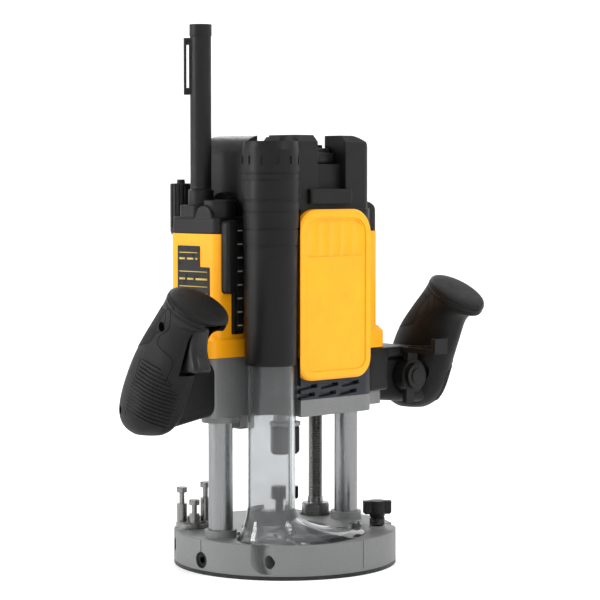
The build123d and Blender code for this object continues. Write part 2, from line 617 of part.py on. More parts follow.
# ---- handles ------------------------------------------------------------------------------------
GRIP_SECTIONS = (                       # X, Y and Z of the centre, half width, half depth, slope in degrees
    (GRIP_FOOT_X, -3.0, 109.0, 8.5, 12.0, 0),
    (GRIP_FOOT_X, -3.5, 113.5, 14.0, 21.0, 0),
    (GRIP_FOOT_X, -5.0, 122.0, 17.6, 27.5, 0),
    (136.5, -9.0, 136.0, 18.8, 30.5, 0),
    (136.0, -15.5, 152.0, 18.3, 31.0, 0),
    (134.5, -25.5, 172.0, 17.3, 30.5, 0),
    (GRIP_X, -35.0, 185.0, 17.2, 27.5, 4),
    (GRIP_X, -45.5, 193.0, 18.8, 26.0, 17),
    (GRIP_X, -52.3, 198.6, 20.8, 25.2, HEAD_TILT),
    (GRIP_X, *HEAD, 20.6, 24.8, HEAD_TILT),
)


def grip_form(side, thin):
    """Leaning pistol grip with an oval head that overhangs the front, shrunk all round by thin."""
    ovals = []
    last = len(GRIP_SECTIONS) - 1
    for index, (x, y, z, half_x, half_y, slope) in enumerate(GRIP_SECTIONS):
        inward = thin if index == 0 else -thin if index == last else 0.0
        place = Pos(side * x, y, z + inward) * Rot(slope, 0, 0)
        ovals.append(place * Ellipse(half_x - thin, half_y - thin))
    return loft(ovals)


ROOT_SECTIONS = (                       # X, Y and Z of the centre, height, depth
    (CASTING_ARM_X, 3.0, 138.0, 40.0, 40.0),
    (132.0, -9.0, 131.0, 34.0, 38.0),
)


def handle_root(side, thin):
    """Arm from the carriage to the lower part of the grip."""
    sections = []
    for x, y, z, height, depth in ROOT_SECTIONS:
        outline = RectangleRounded(height - 2 * thin, depth - 2 * thin, 9 - thin)
        sections.append(Pos(side * x, y, z) * Rot(0, 90, 0) * outline)
    return loft(sections)


def along_grip(side, y, z, r, x0, x1):
    """Cylinder along X between two distances out from a grip's centre."""
    low, high = sorted((side * (GRIP_X + x0), side * (GRIP_X + x1)))
    return bar_x(y, z, r, low, high)


def handle_form(side, thin):
    """Whole grip with its arm, or the hollow inside it when thin is the wall."""
    return grip_form(side, thin) + handle_root(side, thin)


def handle_half(side, outer):
    """One moulded half of a handle, with the bosses for its screws."""
    form = handle_form(side, 0)
    body = form - handle_form(side, SHELL)
    for y, z in GRIP_SCREWS:
        body += along_grip(side, y, z, 5.6, -9, 30) & form
    if side < 0:
        body -= trigger_window()
    else:
        body += bar_y(*LOCK_PIVOT, LOCK_SOCKET_R + SHELL, -30, -5) & form
        body -= bar_y(*LOCK_PIVOT, LOCK_SOCKET_R, -60, -8)
    for y, z in GRIP_SCREWS:
        body -= along_grip(side, y, z, GRIP_SCREW_R + FIT, -6, 30)
        body -= along_grip(side, y, z, 3.6, GRIP_SCREW_SEAT, 30)
    x0, x1 = sorted((side * GRIP_X, side * (GRIP_X + 120)))
    outer_zone = block(x0, x1, -120, 120, 60, 300)
    return body & outer_zone if outer else body - outer_zone


def trigger_window():
    y, z = TRIGGER_PIVOT
    half = TRIGGER_HALF + 1.2
    return block(-GRIP_X - half, -GRIP_X + half, y - 30, y + 14, z - 33, z + 4)


def make_handle_screws():
    """Screws that join the halves of each grip, driven from the outer side."""
    screws = []
    for side in (-1, 1):
        for y, z in GRIP_SCREWS:
            shank = along_grip(side, y, z, GRIP_SCREW_R, -6, GRIP_SCREW_SEAT)
            head = along_grip(side, y, z, 3.1, GRIP_SCREW_SEAT, GRIP_SCREW_SEAT + 2)
            screws.append(shank + head)
    return screws


def make_trigger():
    """Curved switch trigger that hangs from a pin under the grip's head."""
    y, z = TRIGGER_PIVOT
    top, bottom = z + 2.5, z - 30.0
    front = Spline((y - 8.5, top), (y - 8.0, z - 6.0), (y - 6.0, z - 15.0), (y - 8.5, bottom + 3.0),
                   (y - 9.0, bottom))
    lower = Line((y - 9.0, bottom), (y + 4.0, bottom))
    back = Line((y + 4.0, bottom), (y + 4.0, top))
    upper = Line((y + 4.0, top), (y - 8.5, top))
    face = Plane.YZ * make_face([front, lower, back, upper])
    body = Pos(-GRIP_X - TRIGGER_HALF, 0, 0) * extrude(face, 2 * TRIGGER_HALF, dir=(1, 0, 0))
    return body - bar_x(y, z, 1.5 + FIT, -GRIP_X - 12, -GRIP_X + 12)


def make_trigger_pin():
    y, z = TRIGGER_PIVOT
    return bar_x(y, z, 1.5, -GRIP_X - TRIGGER_HALF - 1.2, -GRIP_X + TRIGGER_HALF + 1.2)


def make_switch():
    """Switch body inside the left grip, clear of the trigger's swing."""
    return block(-GRIP_X - 8, -GRIP_X + 8, -33.5, -13, 148, 172)


def make_lock_barrel():
    """Fixed barrel that the plunge lock lever turns on."""
    x, z = LOCK_PIVOT
    body = bar_y(x, z, 9.0, -31, -8) + bar_y(x, z, 10.0, -34, -31)
    return body + bar_y(x, z, 6.0, -35, -33)


def make_lock_lever():
    """Thumb lever: a hub round the barrel, a neck, and a ribbed pad that reaches forward of the arm."""
    x, z = LOCK_PIVOT
    body = bar_y(x, z, 13.2, -30.6, -9)
    body += block(x - 6.5, x + 4.5, -30, -24.6, z + 8, z + 21)
    body += block(x - 8.5, x + 5.5, -58, -24.6, z + 19, z + 23)
    body += block(x - 8.5, x + 5.5, -61, -56.5, z + 19, z + 31)
    for index in range(6):
        y = -51.5 + 4.0 * index
        body += block(x - 7.5, x + 4.5, y - 0.7, y + 0.7, z + 22.5, z + 24.2)
    body += block(x - 8.5, x, -30.6, -26, z - 21, z - 6)
    return body - bar_y(x, z, 9.0 + FIT, -40, 0)


# ---- motor --------------------------------------------------------------------------------------
def make_spindle():
    profile = [(0, 130), (6.9, 130), (6.9, 105), (7.6, 105), (7.6, 85.4), (9.2, 85.4), (9.2, 104.2),
               (12.0, 104.2), (12.0, 107), (SPINDLE_R, 107), (SPINDLE_R, 133), (7.6, 133), (7.6, 282),
               (6.0, 282), (6.0, 297), (0, 297)]
    return turned(profile)


def make_collet():
    body = ring((0, 0), 7.6, COLLET_BORE_R, 84.4, 105)
    for angle in (0, 60, 120):
        body -= Rot(0, 0, angle) * block(-10, 10, -0.4, 0.4, 84, 98)
    return body


def make_collet_nut():
    body = hexagon((0, 0), 21.0, NUT_BOTTOM, NUT_TOP)
    body &= turned([(0, NUT_BOTTOM), (9.6, NUT_BOTTOM), (11.4, NUT_BOTTOM + 2), (11.4, NUT_TOP - 1.5),
                    (10.4, NUT_TOP), (0, NUT_TOP)])
    body -= disc((0, 0), 9.2, 85.4, NUT_TOP + 1)
    body -= disc((0, 0), 7.6, 84.4, 86)
    return body - disc((0, 0), 6.8, NUT_BOTTOM - 1, 85)


def make_rotor_core():
    body = ring((0, 0), 22.0, 7.6, 178, 226)
    for index in range(14):
        body -= Rot(0, 0, 360 / 14 * index) * block(17, 23, -1.2, 1.2, 170, 230)
    return body + ring((0, 0), 13.0, 7.6, 226, 262)


def make_fan():
    body = ring((0, 0), 33.0, 7.6, 146, 148.5) + ring((0, 0), 13.0, 7.6, 148, 160)
    for index in range(11):
        body += Rot(0, 0, 360 / 11 * index) * block(12, 32.5, -0.9, 0.9, 148, 158)
    return body


def make_bearings():
    return [ring((0, 0), 17.5, SPINDLE_R + FIT, 120, 133), ring((0, 0), 12.0, 6.0 + FIT, 284, 296)]


def make_stator():
    return ring((0, 0), 38.0, 23.2, 172, 232)


def make_brushes():
    blocks = []
    for side in (-1, 1):
        x0, x1 = sorted((side * 13.3, side * 34.0))
        blocks.append(block(x0, x1, -4, 4, 246, 258))
    return blocks


def make_housing_screws():
    """Screws that hold the top cap, down its corner posts."""
    return [disc(at, 3.6, 300, 304) - hexagon(at, 3.4, 301.5, 305) for at in CAP_SCREWS]


# ---- small controls -----------------------------------------------------------------------------
def make_speed_dial():
    body = bar_x(DIAL_Y, DIAL_Z, DIAL_R, -54.4, -47.3)
    for index in range(24):
        rib = Pos(-51.0, 0, 0) * Box(7.0, 0.9, 1.2)
        angle = 15 * index
        at = polar((DIAL_Y, DIAL_Z), DIAL_R, angle)
        body -= Pos(0, at[0], at[1]) * Rot(angle, 0, 0) * rib
    return body


def make_depth_rod():
    body = disc(DEPTH_ROD, DEPTH_ROD_R, 125, 262)
    return body - block(DEPTH_ROD[0] - 5, DEPTH_ROD[0] + 5, DEPTH_ROD[1] + 3, DEPTH_ROD[1] + 5, 130, 250)


def make_depth_rod_knob():
    body = turned([(0, 250), (7.2, 250), (8.2, 253), (8.2, 288), (7.4, 289), (0, 289)], DEPTH_ROD)
    for index in range(16):
        at = polar(DEPTH_ROD, 8.3, 22.5 * index)
        body -= disc(at, 0.7, 256, 292)
    body += turned([(0, 288), (3.4, 288), (2.8, 292), (0, 292)], DEPTH_ROD)
    return body - disc(DEPTH_ROD, DEPTH_ROD_R + FIT, 249, 262 + GAP)


def make_depth_clamp_knob():
    x, y = DEPTH_ROD
    body = bar_y(x, 147, 3.0 - FIT, y + DEPTH_ROD_R + 0.3, y + 12)
    body += bar_y(x, 147, 9.0, y + 10, y + 20)
    for index in range(8):
        at = polar((x, 147), 9.6, 45 * index)
        body -= bar_y(at[0], at[1], 1.6, y + 9, y + 21)
    return body


def make_spindle_lock():
    """Push button in the rear face that holds the spindle still."""
    return bar_y(*SPINDLE_LOCK, 4.5, 43.0, 53.5) + bar_y(*SPINDLE_LOCK, 6.0, 53.4, 57.0)


# ---- build --------------------------------------------------------------------------------------
keep("base_casting", make_base_casting())
keep("sole_plate", make_sole_plate())
keep("sole_screws", make_sole_screws())
keep("column_left", make_column(-COLUMN_X))
keep("column_right", make_column(COLUMN_X))
keep("column_clamp_screws", make_column_clamp_screws())
keep("threaded_rod", make_threaded_rod())
keep("rod_nut", make_rod_nut())
keep("dust_tube_clear", make_clear_tube())
keep("dust_shroud", make_shroud())
keep("shroud_screws", make_shroud_screws())
keep("fence_clamp_springs", make_clamp_springs())
for side_name, x_side in (("left", -COLUMN_X), ("right", COLUMN_X)):
    keep("plunge_spring_" + side_name, coil((x_side, 0), 5.0, 0.9, 8.0, 273.9, 30))
keep("turret_pivot", make_turret_pivot())
keep("fence_clamp_front", make_clamp_knob(-1))
keep("fence_clamp_rear", make_clamp_knob(1))
keep("turret_disc", make_turret_disc())
for stop_name in STOP_POSTS:
    keep("stop_screw_" + stop_name, make_stop_screw(stop_name))

keep("carriage_casting", make_carriage_casting())
keep("column_bushes", make_column_bushes())
keep("rod_guide_bush", make_rod_guide_bush())
keep("vent_skirt", make_vent_skirt())
keep("motor_housing", make_motor_housing())
keep("side_housing_left", make_side_housing_left())
keep("side_housing_right", make_side_housing_right())
keep("side_cap_left", make_side_cap_left())
keep("side_cap_right", make_side_cap_right())
keep("top_cap", make_top_cap())
keep("front_panel", make_front_panel())
keep("scale_channel", make_scale_channel())
keep("scale_strip", make_scale_strip())
keep("rating_plate", make_rating_plate())
keep("cord_guide", make_cord_guide())
keep("dust_adapter", make_dust_adapter())
keep("handle_left_outer", handle_half(-1, True))
keep("handle_left_inner", handle_half(-1, False))
keep("handle_right_outer", handle_half(1, True))
keep("handle_right_inner", handle_half(1, False))
keep("handle_fasteners", make_handle_screws() + [make_trigger_pin()])
keep("switch", make_switch())
keep("lock_barrel", make_lock_barrel())
keep("bearings", make_bearings())
keep("stator", make_stator())
keep("brushes", make_brushes())
keep("housing_screws", make_housing_screws())

keep("spindle", make_spindle())
keep("rotor_core", make_rotor_core())
keep("cooling_fan", make_fan())
keep("collet", make_collet())
keep("collet_nut", make_collet_nut())

keep("trigger", make_trigger())
keep("plunge_lock_lever", make_lock_lever())
keep("speed_dial", make_speed_dial())
keep("depth_rod", make_depth_rod())
keep("depth_rod_knob", make_depth_rod_knob())
keep("depth_clamp_knob", make_depth_clamp_knob())
keep("spindle_lock", make_spindle_lock())

os.makedirs("parts", exist_ok=True)
for name, shape in parts.items():
    solids = shape if isinstance(shape, list) else [shape]
    whole = Compound(children=[s for item in solids for s in item.solids()])
    export_step(whole, "parts/" + name + ".step")
    print(name, len(whole.solids()), round(whole.volume / 1000, 2), "cm3")
print(len(parts), "nodes")
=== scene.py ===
import bmesh
import bpy
import json
from math import cos, pi, radians, sin
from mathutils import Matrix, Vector
from mathutils.bvhtree import BVHTree


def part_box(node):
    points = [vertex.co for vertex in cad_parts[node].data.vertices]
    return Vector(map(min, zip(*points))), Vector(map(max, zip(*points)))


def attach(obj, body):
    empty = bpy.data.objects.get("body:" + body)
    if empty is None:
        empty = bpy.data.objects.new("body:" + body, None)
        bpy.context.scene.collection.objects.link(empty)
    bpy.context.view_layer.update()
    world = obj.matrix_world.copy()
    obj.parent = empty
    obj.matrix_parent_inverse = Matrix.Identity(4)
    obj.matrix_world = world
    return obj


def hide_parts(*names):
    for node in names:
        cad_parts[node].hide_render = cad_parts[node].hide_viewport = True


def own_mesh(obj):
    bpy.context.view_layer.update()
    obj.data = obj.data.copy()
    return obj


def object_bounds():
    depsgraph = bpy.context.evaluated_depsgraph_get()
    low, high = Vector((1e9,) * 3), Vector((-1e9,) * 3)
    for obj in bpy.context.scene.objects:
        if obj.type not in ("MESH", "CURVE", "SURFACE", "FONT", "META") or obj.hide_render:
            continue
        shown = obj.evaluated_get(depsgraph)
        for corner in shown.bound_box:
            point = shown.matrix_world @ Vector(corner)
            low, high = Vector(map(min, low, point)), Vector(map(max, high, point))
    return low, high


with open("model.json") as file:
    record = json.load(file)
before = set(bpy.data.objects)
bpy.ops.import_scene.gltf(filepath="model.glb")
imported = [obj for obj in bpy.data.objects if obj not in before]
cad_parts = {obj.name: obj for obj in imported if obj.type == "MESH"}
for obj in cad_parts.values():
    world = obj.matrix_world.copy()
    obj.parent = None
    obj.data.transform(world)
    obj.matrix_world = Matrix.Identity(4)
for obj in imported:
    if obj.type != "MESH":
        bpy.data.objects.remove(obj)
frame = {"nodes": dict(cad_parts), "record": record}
cad_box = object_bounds()
nodes = frame["nodes"]
MM = 0.001


# ---- colours ------------------------------------------------------------------------------------
def srgb(r, g, b):
    """Linear colour from 0-255 display values."""
    shares = [value / 255 for value in (r, g, b)]
    return tuple(c / 12.92 if c <= 10 / 255 else ((c + 0.055) / 1.055) ** 2.4 for c in shares) + (1.0,)


YELLOW = srgb(244, 163, 18)
BLACK = srgb(17, 17, 17)
GRIP_BLACK = srgb(9, 9, 9)
GLOSS_BLACK = srgb(9, 9, 9)
SLATE = srgb(38, 41, 47)
ALUMINIUM = srgb(118, 119, 119)
STEEL = srgb(136, 137, 138)
ZINC = srgb(128, 128, 127)


# ---- materials ----------------------------------------------------------------------------------
NOISE_LOW, NOISE_HIGH = 0.3, 0.7


class Graph:
    """Short way to add and link shader nodes."""

    def __init__(self, name):
        self.material = bpy.data.materials.new(name)
        self.material.use_nodes = True
        self.tree = self.material.node_tree
        self.tree.nodes.clear()
        output = self.add("ShaderNodeOutputMaterial")
        self.shader = self.add("ShaderNodeBsdfPrincipled")
        self.link(self.shader.outputs[0], output.inputs["Surface"])
        self.place = self.add("ShaderNodeTexCoord").outputs["Object"]

    def add(self, kind, **settings):
        node = self.tree.nodes.new(kind)
        for key, value in settings.items():
            setattr(node, key, value)
        return node

    def link(self, out, into):
        self.tree.links.new(out, into)

    def stretched(self, scale):
        """Object coordinates scaled along each axis."""
        node = self.add("ShaderNodeMapping")
        node.inputs["Scale"].default_value = scale
        self.link(self.place, node.inputs["Vector"])
        return node.outputs["Vector"]

    def noise(self, size_mm, detail=3.0, roughness=0.55, vector=None):
        node = self.add("ShaderNodeTexNoise")
        node.inputs["Scale"].default_value = 1000.0 / size_mm
        node.inputs["Detail"].default_value = detail
        node.inputs["Roughness"].default_value = roughness
        self.link(vector or self.place, node.inputs["Vector"])
        return node.outputs["Fac"]

    def ramp(self, value, low, high, out_low=0.0, out_high=1.0):
        """Maps low..high of a value to out_low..out_high, held at the ends."""
        node = self.add("ShaderNodeMapRange")
        for key, number in (("From Min", low), ("From Max", high), ("To Min", out_low), ("To Max", out_high)):
            node.inputs[key].default_value = number
        self.link(value, node.inputs["Value"])
        return node.outputs["Result"]

    def swing(self, noise, out_low=0.0, out_high=1.0):
        """Maps the range that a noise mostly keeps to, to out_low..out_high."""
        return self.ramp(noise, NOISE_LOW, NOISE_HIGH, out_low, out_high)

    def maths(self, operation, a, b):
        node = self.add("ShaderNodeMath", operation=operation)
        self.link(a, node.inputs[0])
        self.link(b, node.inputs[1])
        return node.outputs[0]

    def mix(self, factor, a, b):
        node = self.add("ShaderNodeMix", data_type="RGBA")
        self.link(factor, node.inputs["Factor"])
        for socket, value in ((node.inputs[6], a), (node.inputs[7], b)):
            if isinstance(value, tuple):
                socket.default_value = value
            else:
                self.link(value, socket)
        return node.outputs[2]

    def edges(self, radius_mm):
        """1 along sharp edges, 0 on open faces."""
        bevel = self.add("ShaderNodeBevel", samples=4)
        bevel.inputs["Radius"].default_value = radius_mm * MM
        geometry = self.add("ShaderNodeNewGeometry")
        dot = self.add("ShaderNodeVectorMath", operation="DOT_PRODUCT")
        self.link(bevel.outputs[0], dot.inputs[0])
        self.link(geometry.outputs["Normal"], dot.inputs[1])
        return self.ramp(dot.outputs["Value"], 0.995, 0.80)

    def bump(self, heights, bevel_mm=0.5):
        """Stacks bumps from (height, depth in mm) pairs over softly bevelled edges."""
        bevel = self.add("ShaderNodeBevel", samples=4)
        bevel.inputs["Radius"].default_value = bevel_mm * MM
        normal = bevel.outputs[0]
        for height, depth_mm in heights:
            node = self.add("ShaderNodeBump")
            node.inputs["Strength"].default_value = 1.0
            node.inputs["Distance"].default_value = depth_mm * MM
            self.link(height, node.inputs["Height"])
            self.link(normal, node.inputs["Normal"])
            normal = node.outputs[0]
        self.link(normal, self.shader.inputs["Normal"])

    def put(self, socket, value):
        if isinstance(value, (int, float, tuple)):
            self.shader.inputs[socket].default_value = value
        else:
            self.link(value, self.shader.inputs[socket])


def tint(colour, factor):
    """A colour made paler or darker."""
    return tuple(min(1.0, c * factor) for c in colour[:3]) + (1.0,)


def moulded(name, colour, roughness, grain_mm=0.35, depth_mm=0.012, edge_wear_and_highlight=1.45, spread=0.07, coat=0.0):
    """Moulded plastic: spark-eroded grain, faint flow mottling, handling polish, and edges made paler as painted
    highlight and wear.
    """
    g = Graph(name)
    grain = g.noise(grain_mm, 2.0, 0.6)
    cloud = g.noise(38.0, 4.0, 0.6)
    smear = g.noise(9.0, 5.0, 0.65)
    body = g.mix(g.swing(cloud), tint(colour, 0.93), tint(colour, 1.07))
    # Paler edges: painted edge highlight along sharp edges, mixed with edge wear where the smear noise allows
    edge_wear_and_highlight_mask = g.maths("MULTIPLY", g.edges(0.7), g.ramp(smear, 0.35, 0.75, 0.15, 0.8))
    g.put("Base Color", g.mix(edge_wear_and_highlight_mask, body, tint(colour, edge_wear_and_highlight)))
    polish = g.swing(smear, roughness - spread, roughness + spread)
    g.put("Roughness", g.maths("ADD", polish, g.swing(grain, -0.03, 0.03)))
    g.put("Specular IOR Level", 0.2)
    g.put("Coat Weight", coat)
    g.put("Coat Roughness", 0.25)
    g.bump([(cloud, 0.03), (grain, depth_mm)])
    return g.material


def cast_metal(name, colour, grain_mm=0.9, depth_mm=0.05):
    """Fine die-cast aluminium: sandy skin, dull bloom, edges brightened as painted highlight and wear, and small pits.
    """
    g = Graph(name)
    sand = g.noise(grain_mm, 4.0, 0.7)
    fine = g.noise(0.35, 2.0, 0.6)
    bloom = g.noise(30.0, 5.0, 0.6)
    pits = g.add("ShaderNodeTexVoronoi", feature="F1")
    pits.inputs["Scale"].default_value = 420.0
    g.link(g.place, pits.inputs["Vector"])
    pit = g.ramp(pits.outputs["Distance"], 0.05, 0.22)
    body = g.mix(g.swing(bloom), tint(colour, 0.90), tint(colour, 1.06))
    body = g.mix(g.swing(sand), tint(colour, 0.84), body)
    # Brighter edges: painted edge highlight along sharp edges, together with rubbed edge wear
    g.put("Base Color", g.mix(g.edges(0.8), body, tint(colour, 1.25)))
    g.put("Metallic", 0.35)
    g.put("Roughness", g.swing(sand, 0.66, 0.48))
    g.bump([(bloom, 0.08), (pit, 0.03), (sand, depth_mm), (fine, 0.02)], 0.7)
    return g.material


def ground_metal(name, colour, roughness, across=(1, 1, 0.02), streak_mm=0.5, depth_mm=0.004):
    """Ground or turned metal: fine streaks, roughness that follows them and soft smudges."""
    g = Graph(name)
    streaks = g.noise(streak_mm, 4.0, 0.7, g.stretched(across))
    smudge = g.noise(22.0, 4.0, 0.6)
    body = g.mix(g.ramp(smudge, 0.35, 0.7), tint(colour, 0.92), tint(colour, 1.03))
    g.put("Base Color", g.mix(g.ramp(streaks, 0.4, 0.7), tint(colour, 0.86), body))
    g.put("Metallic", 1.0)
    g.put("Roughness", g.maths("ADD", g.swing(streaks, roughness - 0.05, roughness + 0.06),
                               g.swing(smudge, -0.04, 0.05)))
    g.bump([(streaks, depth_mm)], 0.4)
    return g.material


def clear_plastic(name):
    """Clear polycarbonate: faint grey tint, flow ripples and light scuffs."""
    g = Graph(name)
    ripple = g.noise(26.0, 2.0, 0.5)
    scuff = g.noise(1.2, 5.0, 0.7, g.stretched((1, 1, 0.12)))
    g.put("Base Color", g.mix(g.swing(ripple), srgb(196, 198, 199), srgb(212, 214, 215)))
    g.put("Roughness", g.ramp(scuff, 0.45, 0.75, 0.03, 0.16))
    g.put("Transmission Weight", 0.96)
    g.put("IOR", 1.35)
    g.bump([(ripple, 0.20), (scuff, 0.002)], 0.6)
    return g.material


SCALE_FACE_Y, TICK_FACE_Y = -0.01672, -0.01678


def scale_finish(name):
    """Black lacquered strip whose raised graduations, which stand in front of its face, are pale."""
    g = Graph(name)
    grain = g.noise(0.6, 3.0, 0.6)
    smear = g.noise(12.0, 4.0, 0.6)
    split = g.add("ShaderNodeSeparateXYZ")
    g.link(g.place, split.inputs[0])
    tick = g.ramp(split.outputs["Y"], SCALE_FACE_Y, TICK_FACE_Y)
    dark = g.mix(smear, srgb(16, 16, 17), srgb(24, 24, 25))
    g.put("Base Color", g.mix(tick, dark, srgb(176, 176, 172)))
    g.put("Roughness", g.swing(smear, 0.36, 0.5))
    g.bump([(grain, 0.003)], 0.2)
    return g.material


finishes = {
    "cast_aluminium": cast_metal("cast_aluminium_skin", ALUMINIUM),
    "steel": ground_metal("ground_steel", STEEL, 0.30),
    "zinc": ground_metal("zinc_plate", ZINC, 0.30, (1, 1, 1), 0.8, 0.006),
    "spring_steel": ground_metal("oiled_spring_steel", srgb(50, 50, 50), 0.35, (1, 1, 1)),
    "black_steel": ground_metal("black_oxide_steel", srgb(40, 40, 42), 0.38, (1, 1, 1), 1.0, 0.006),
    "phenolic": moulded("phenolic_laminate", srgb(36, 36, 37), 0.42, 0.8, 0.004),
    "clear_plastic": clear_plastic("clear_polycarbonate"),
    "black_plastic": moulded("black_moulding", BLACK, 0.46),
    "grip_plastic": moulded("grip_moulding", GRIP_BLACK, 0.55, 0.5, 0.02),
    "gloss_black": moulded("gloss_moulding", GLOSS_BLACK, 0.30, 0.5, 0.002, 1.3, 0.04, 0.15),
    "dark_grey_plastic": moulded("slate_moulding", SLATE, 0.48),
    "yellow_plastic": moulded("yellow_moulding", YELLOW, 0.36, 0.30, 0.006, 1.12, 0.05, 0.15),
    "label": moulded("blank_foil_plate", srgb(28, 28, 29), 0.30, 0.6, 0.002),
    "scale_metal": scale_finish("scale_strip_lacquer"),
    "bronze": ground_metal("sintered_bronze", srgb(170, 140, 88), 0.40, (1, 1, 1)),
    "laminations": ground_metal("varnished_laminations", srgb(92, 84, 80), 0.45, (0.02, 0.02, 1)),
    "carbon": moulded("carbon_block", srgb(34, 34, 36), 0.60),
    "fan_plastic": moulded("nylon_fan", srgb(48, 48, 52), 0.50),
}

slot_of = {entry["node"]: entry["material_slot"] for entry in frame["record"]["subparts"]}
for name, piece in nodes.items():
    piece.data.materials.clear()
    piece.data.materials.append(finishes[slot_of[name]])
nodes["dust_adapter"].data.materials[0] = moulded("tube_moulding", srgb(8, 8, 8), 0.42)


# ---- raised details on the CAD surfaces ---------------------------------------------------------
BOX_MARGIN = 0.00005                    # metres


def skin(*names):
    """Search tree of the surfaces of some CAD nodes."""
    points, faces = [], []
    for name in names:
        mesh = nodes[name].data
        first = len(points)
        points += [v.co.copy() for v in mesh.vertices]
        faces += [[first + i for i in face.vertices] for face in mesh.polygons]
    return BVHTree.FromPolygons(points, faces)


def hold_inside(point):
    """Keeps a point inside the CAD model's own box."""
    low, high = cad_box
    return Vector([min(max(c, a + BOX_MARGIN), b - BOX_MARGIN) for c, a, b in zip(point, low, high)])


def add_piece(name, points, faces, finish, slot, body="carriage"):
    """Visual piece from points and faces in metres, which rides one body."""
    mesh = bpy.data.meshes.new(name)
    mesh.from_pydata([hold_inside(p) for p in points], [], faces)
    mesh.update()
    piece = bpy.data.objects.new(name, mesh)
    bpy.context.scene.collection.objects.link(piece)
    form = bmesh.new()
    form.from_mesh(mesh)
    bmesh.ops.remove_doubles(form, verts=form.verts, dist=1e-6)
    bmesh.ops.recalc_face_normals(form, faces=form.faces)
    form.to_mesh(mesh)
    form.free()
    mesh.shade_smooth()
    mesh.materials.append(finish)
    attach(piece, body)
    return piece


def along(points, step):
    """Points along a smooth curve through some (y, z) points, in mm, about one step apart."""
    out = []
    ends = [points[0]] + list(points) + [points[-1]]
    for a, b, c, d in zip(ends, ends[1:], ends[2:], ends[3:]):
        count = max(2, int(((c[0] - b[0]) ** 2 + (c[1] - b[1]) ** 2) ** 0.5 / step))
        for i in range(count):
            t = i / count
            out.append(tuple(0.5 * (2 * q + (r - p) * t + (2 * p - 5 * q + 4 * r - s) * t * t
                                    + (3 * q - p - 3 * r + s) * t ** 3) for p, q, r, s in zip(a, b, c, d)))
    return out + [points[-1]]


BEYOND_GRIPS_X, INSIDE_GRIPS_X = 0.25, 0.095        # metres from the middle of the router
STRIP_PROFILE = ((-0.5, -0.3), (-0.42, 0.5), (-0.2, 1.0), (0.2, 1.0), (0.42, 0.5), (0.5, -0.3))
END_FADE = 0.35
SUNK_BORDER = -0.3                      # mm


def land(tree, y, z, side, outer):
    """Point and normal where a line along X, at (y, z) in mm, meets one flank of a grip."""
    start = side * (BEYOND_GRIPS_X if outer else INSIDE_GRIPS_X)
    heading = -side if outer else side
    place, normal, _, _ = tree.ray_cast(Vector((start, y * MM, z * MM)), Vector((heading, 0, 0)))
    return place, normal


def raised_strip(points, width, height):
    """Rounded bead that follows (place, normal) pairs, as vertices and faces."""
    verts, faces = [], []
    for i, (place, normal) in enumerate(points):
        ahead = points[min(i + 1, len(points) - 1)][0] - points[max(i - 1, 0)][0]
        across = normal.cross(ahead).normalized()
        fade = END_FADE if i in (0, len(points) - 1) else 1.0
        for offset, lift in STRIP_PROFILE:
            verts.append(place + across * (offset * width * MM * fade) + normal * (lift * height * MM * fade))
    count = len(STRIP_PROFILE)
    for i in range(len(points) - 1):
        for j in range(count):
            k = (j + 1) % count
            faces.append((i * count + j, i * count + k, (i + 1) * count + k, (i + 1) * count + j))
    faces.append(tuple(range(count)))
    faces.append(tuple(range(len(verts) - count, len(verts))))
    return verts, faces


def add_strips(name, tracks, width, height, finish, slot):
    """One piece made of several beads."""
    points, faces = [], []
    for track in tracks:
        if len(track) < 3:
            continue
        verts, polygons = raised_strip(track, width, height)
        faces += [tuple(len(points) + i for i in polygon) for polygon in polygons]
        points += verts
    add_piece(name, points, faces, finish, slot)


def raised_panel(tree, side, outer, front, back, height):
    """Thin pad on a grip between a front and a back edge given as (y, z) points, with its borders sunk."""
    rows, columns = 30, 12
    front, back = along(front, 0.4), along(back, 0.4)
    points, faces = [], []
    for row in range(rows + 1):
        v = row / rows
        a = front[round(v * (len(front) - 1))]
        b = back[round(v * (len(back) - 1))]
        for column in range(columns + 1):
            u = column / columns
            y, z = (p + (q - p) * u for p, q in zip(a, b))
            place, normal = land(tree, y, z, side, outer)
            if place is None:
                place, normal = points[-1], Vector((side if outer else -side, 0, 0))
            border = min(row, rows - row, column, columns - column)
            points.append(place + normal * ((height if border else SUNK_BORDER) * MM))
    for row in range(rows):
        for column in range(columns):
            i = row * (columns + 1) + column
            faces.append((i, i + 1, i + columns + 2, i + columns + 1))
    return points, faces


# Lines on the flanks of a grip, as (y, z) points in mm.
PAD_SEAM = ((-46.5, 203.0), (-42.4, 200.5), (-41.0, 194.1), (-36.0, 187.0), (-28.8, 184.1), (-22.5, 178.0),
            (-13.3, 175.5), (-3.0, 174.0))
THUMB_SEAM = ((-50.5, 203.0), (-47.4, 193.8), (-41.5, 186.5), (-33.7, 182.6), (-31.0, 176.3), (-41.8, 167.4),
              (-42.5, 161.0), (-38.2, 152.8), (-40.0, 147.2))
RIB_BORDER = ((-13.0, 166.0), (-9.5, 154.0), (-6.5, 146.4), (-3.8, 138.8), (-0.6, 131.0), (2.5, 123.0))
PAD_FRONT = ((-3.0, 174.0), (-13.3, 175.5), (-22.5, 178.0), (-27.5, 183.2), (-30.8, 190.0), (-38.5, 196.5),
             (-42.5, 201.0))
PAD_BACK = ((-0.5, 171.5), (-3.5, 177.5), (-8.5, 184.0), (-15.0, 191.0), (-22.0, 197.5), (-30.5, 204.0))
RIB_COUNT, RIB_STEPS = 15, 24
TOP_RIB_Z, RIB_RANGE = 164.5, 36.5
RIB_START, RIB_END, RIB_END_GROWTH, RIB_END_LIMIT = -20.0, 46.0, 110.0, 84.0    # degrees round the grip
RIB_DROP, RIB_DROP_GROWTH, RIB_DROP_LIMIT, RIB_CURVE = 6.0, 22.0, 13.0, 1.3

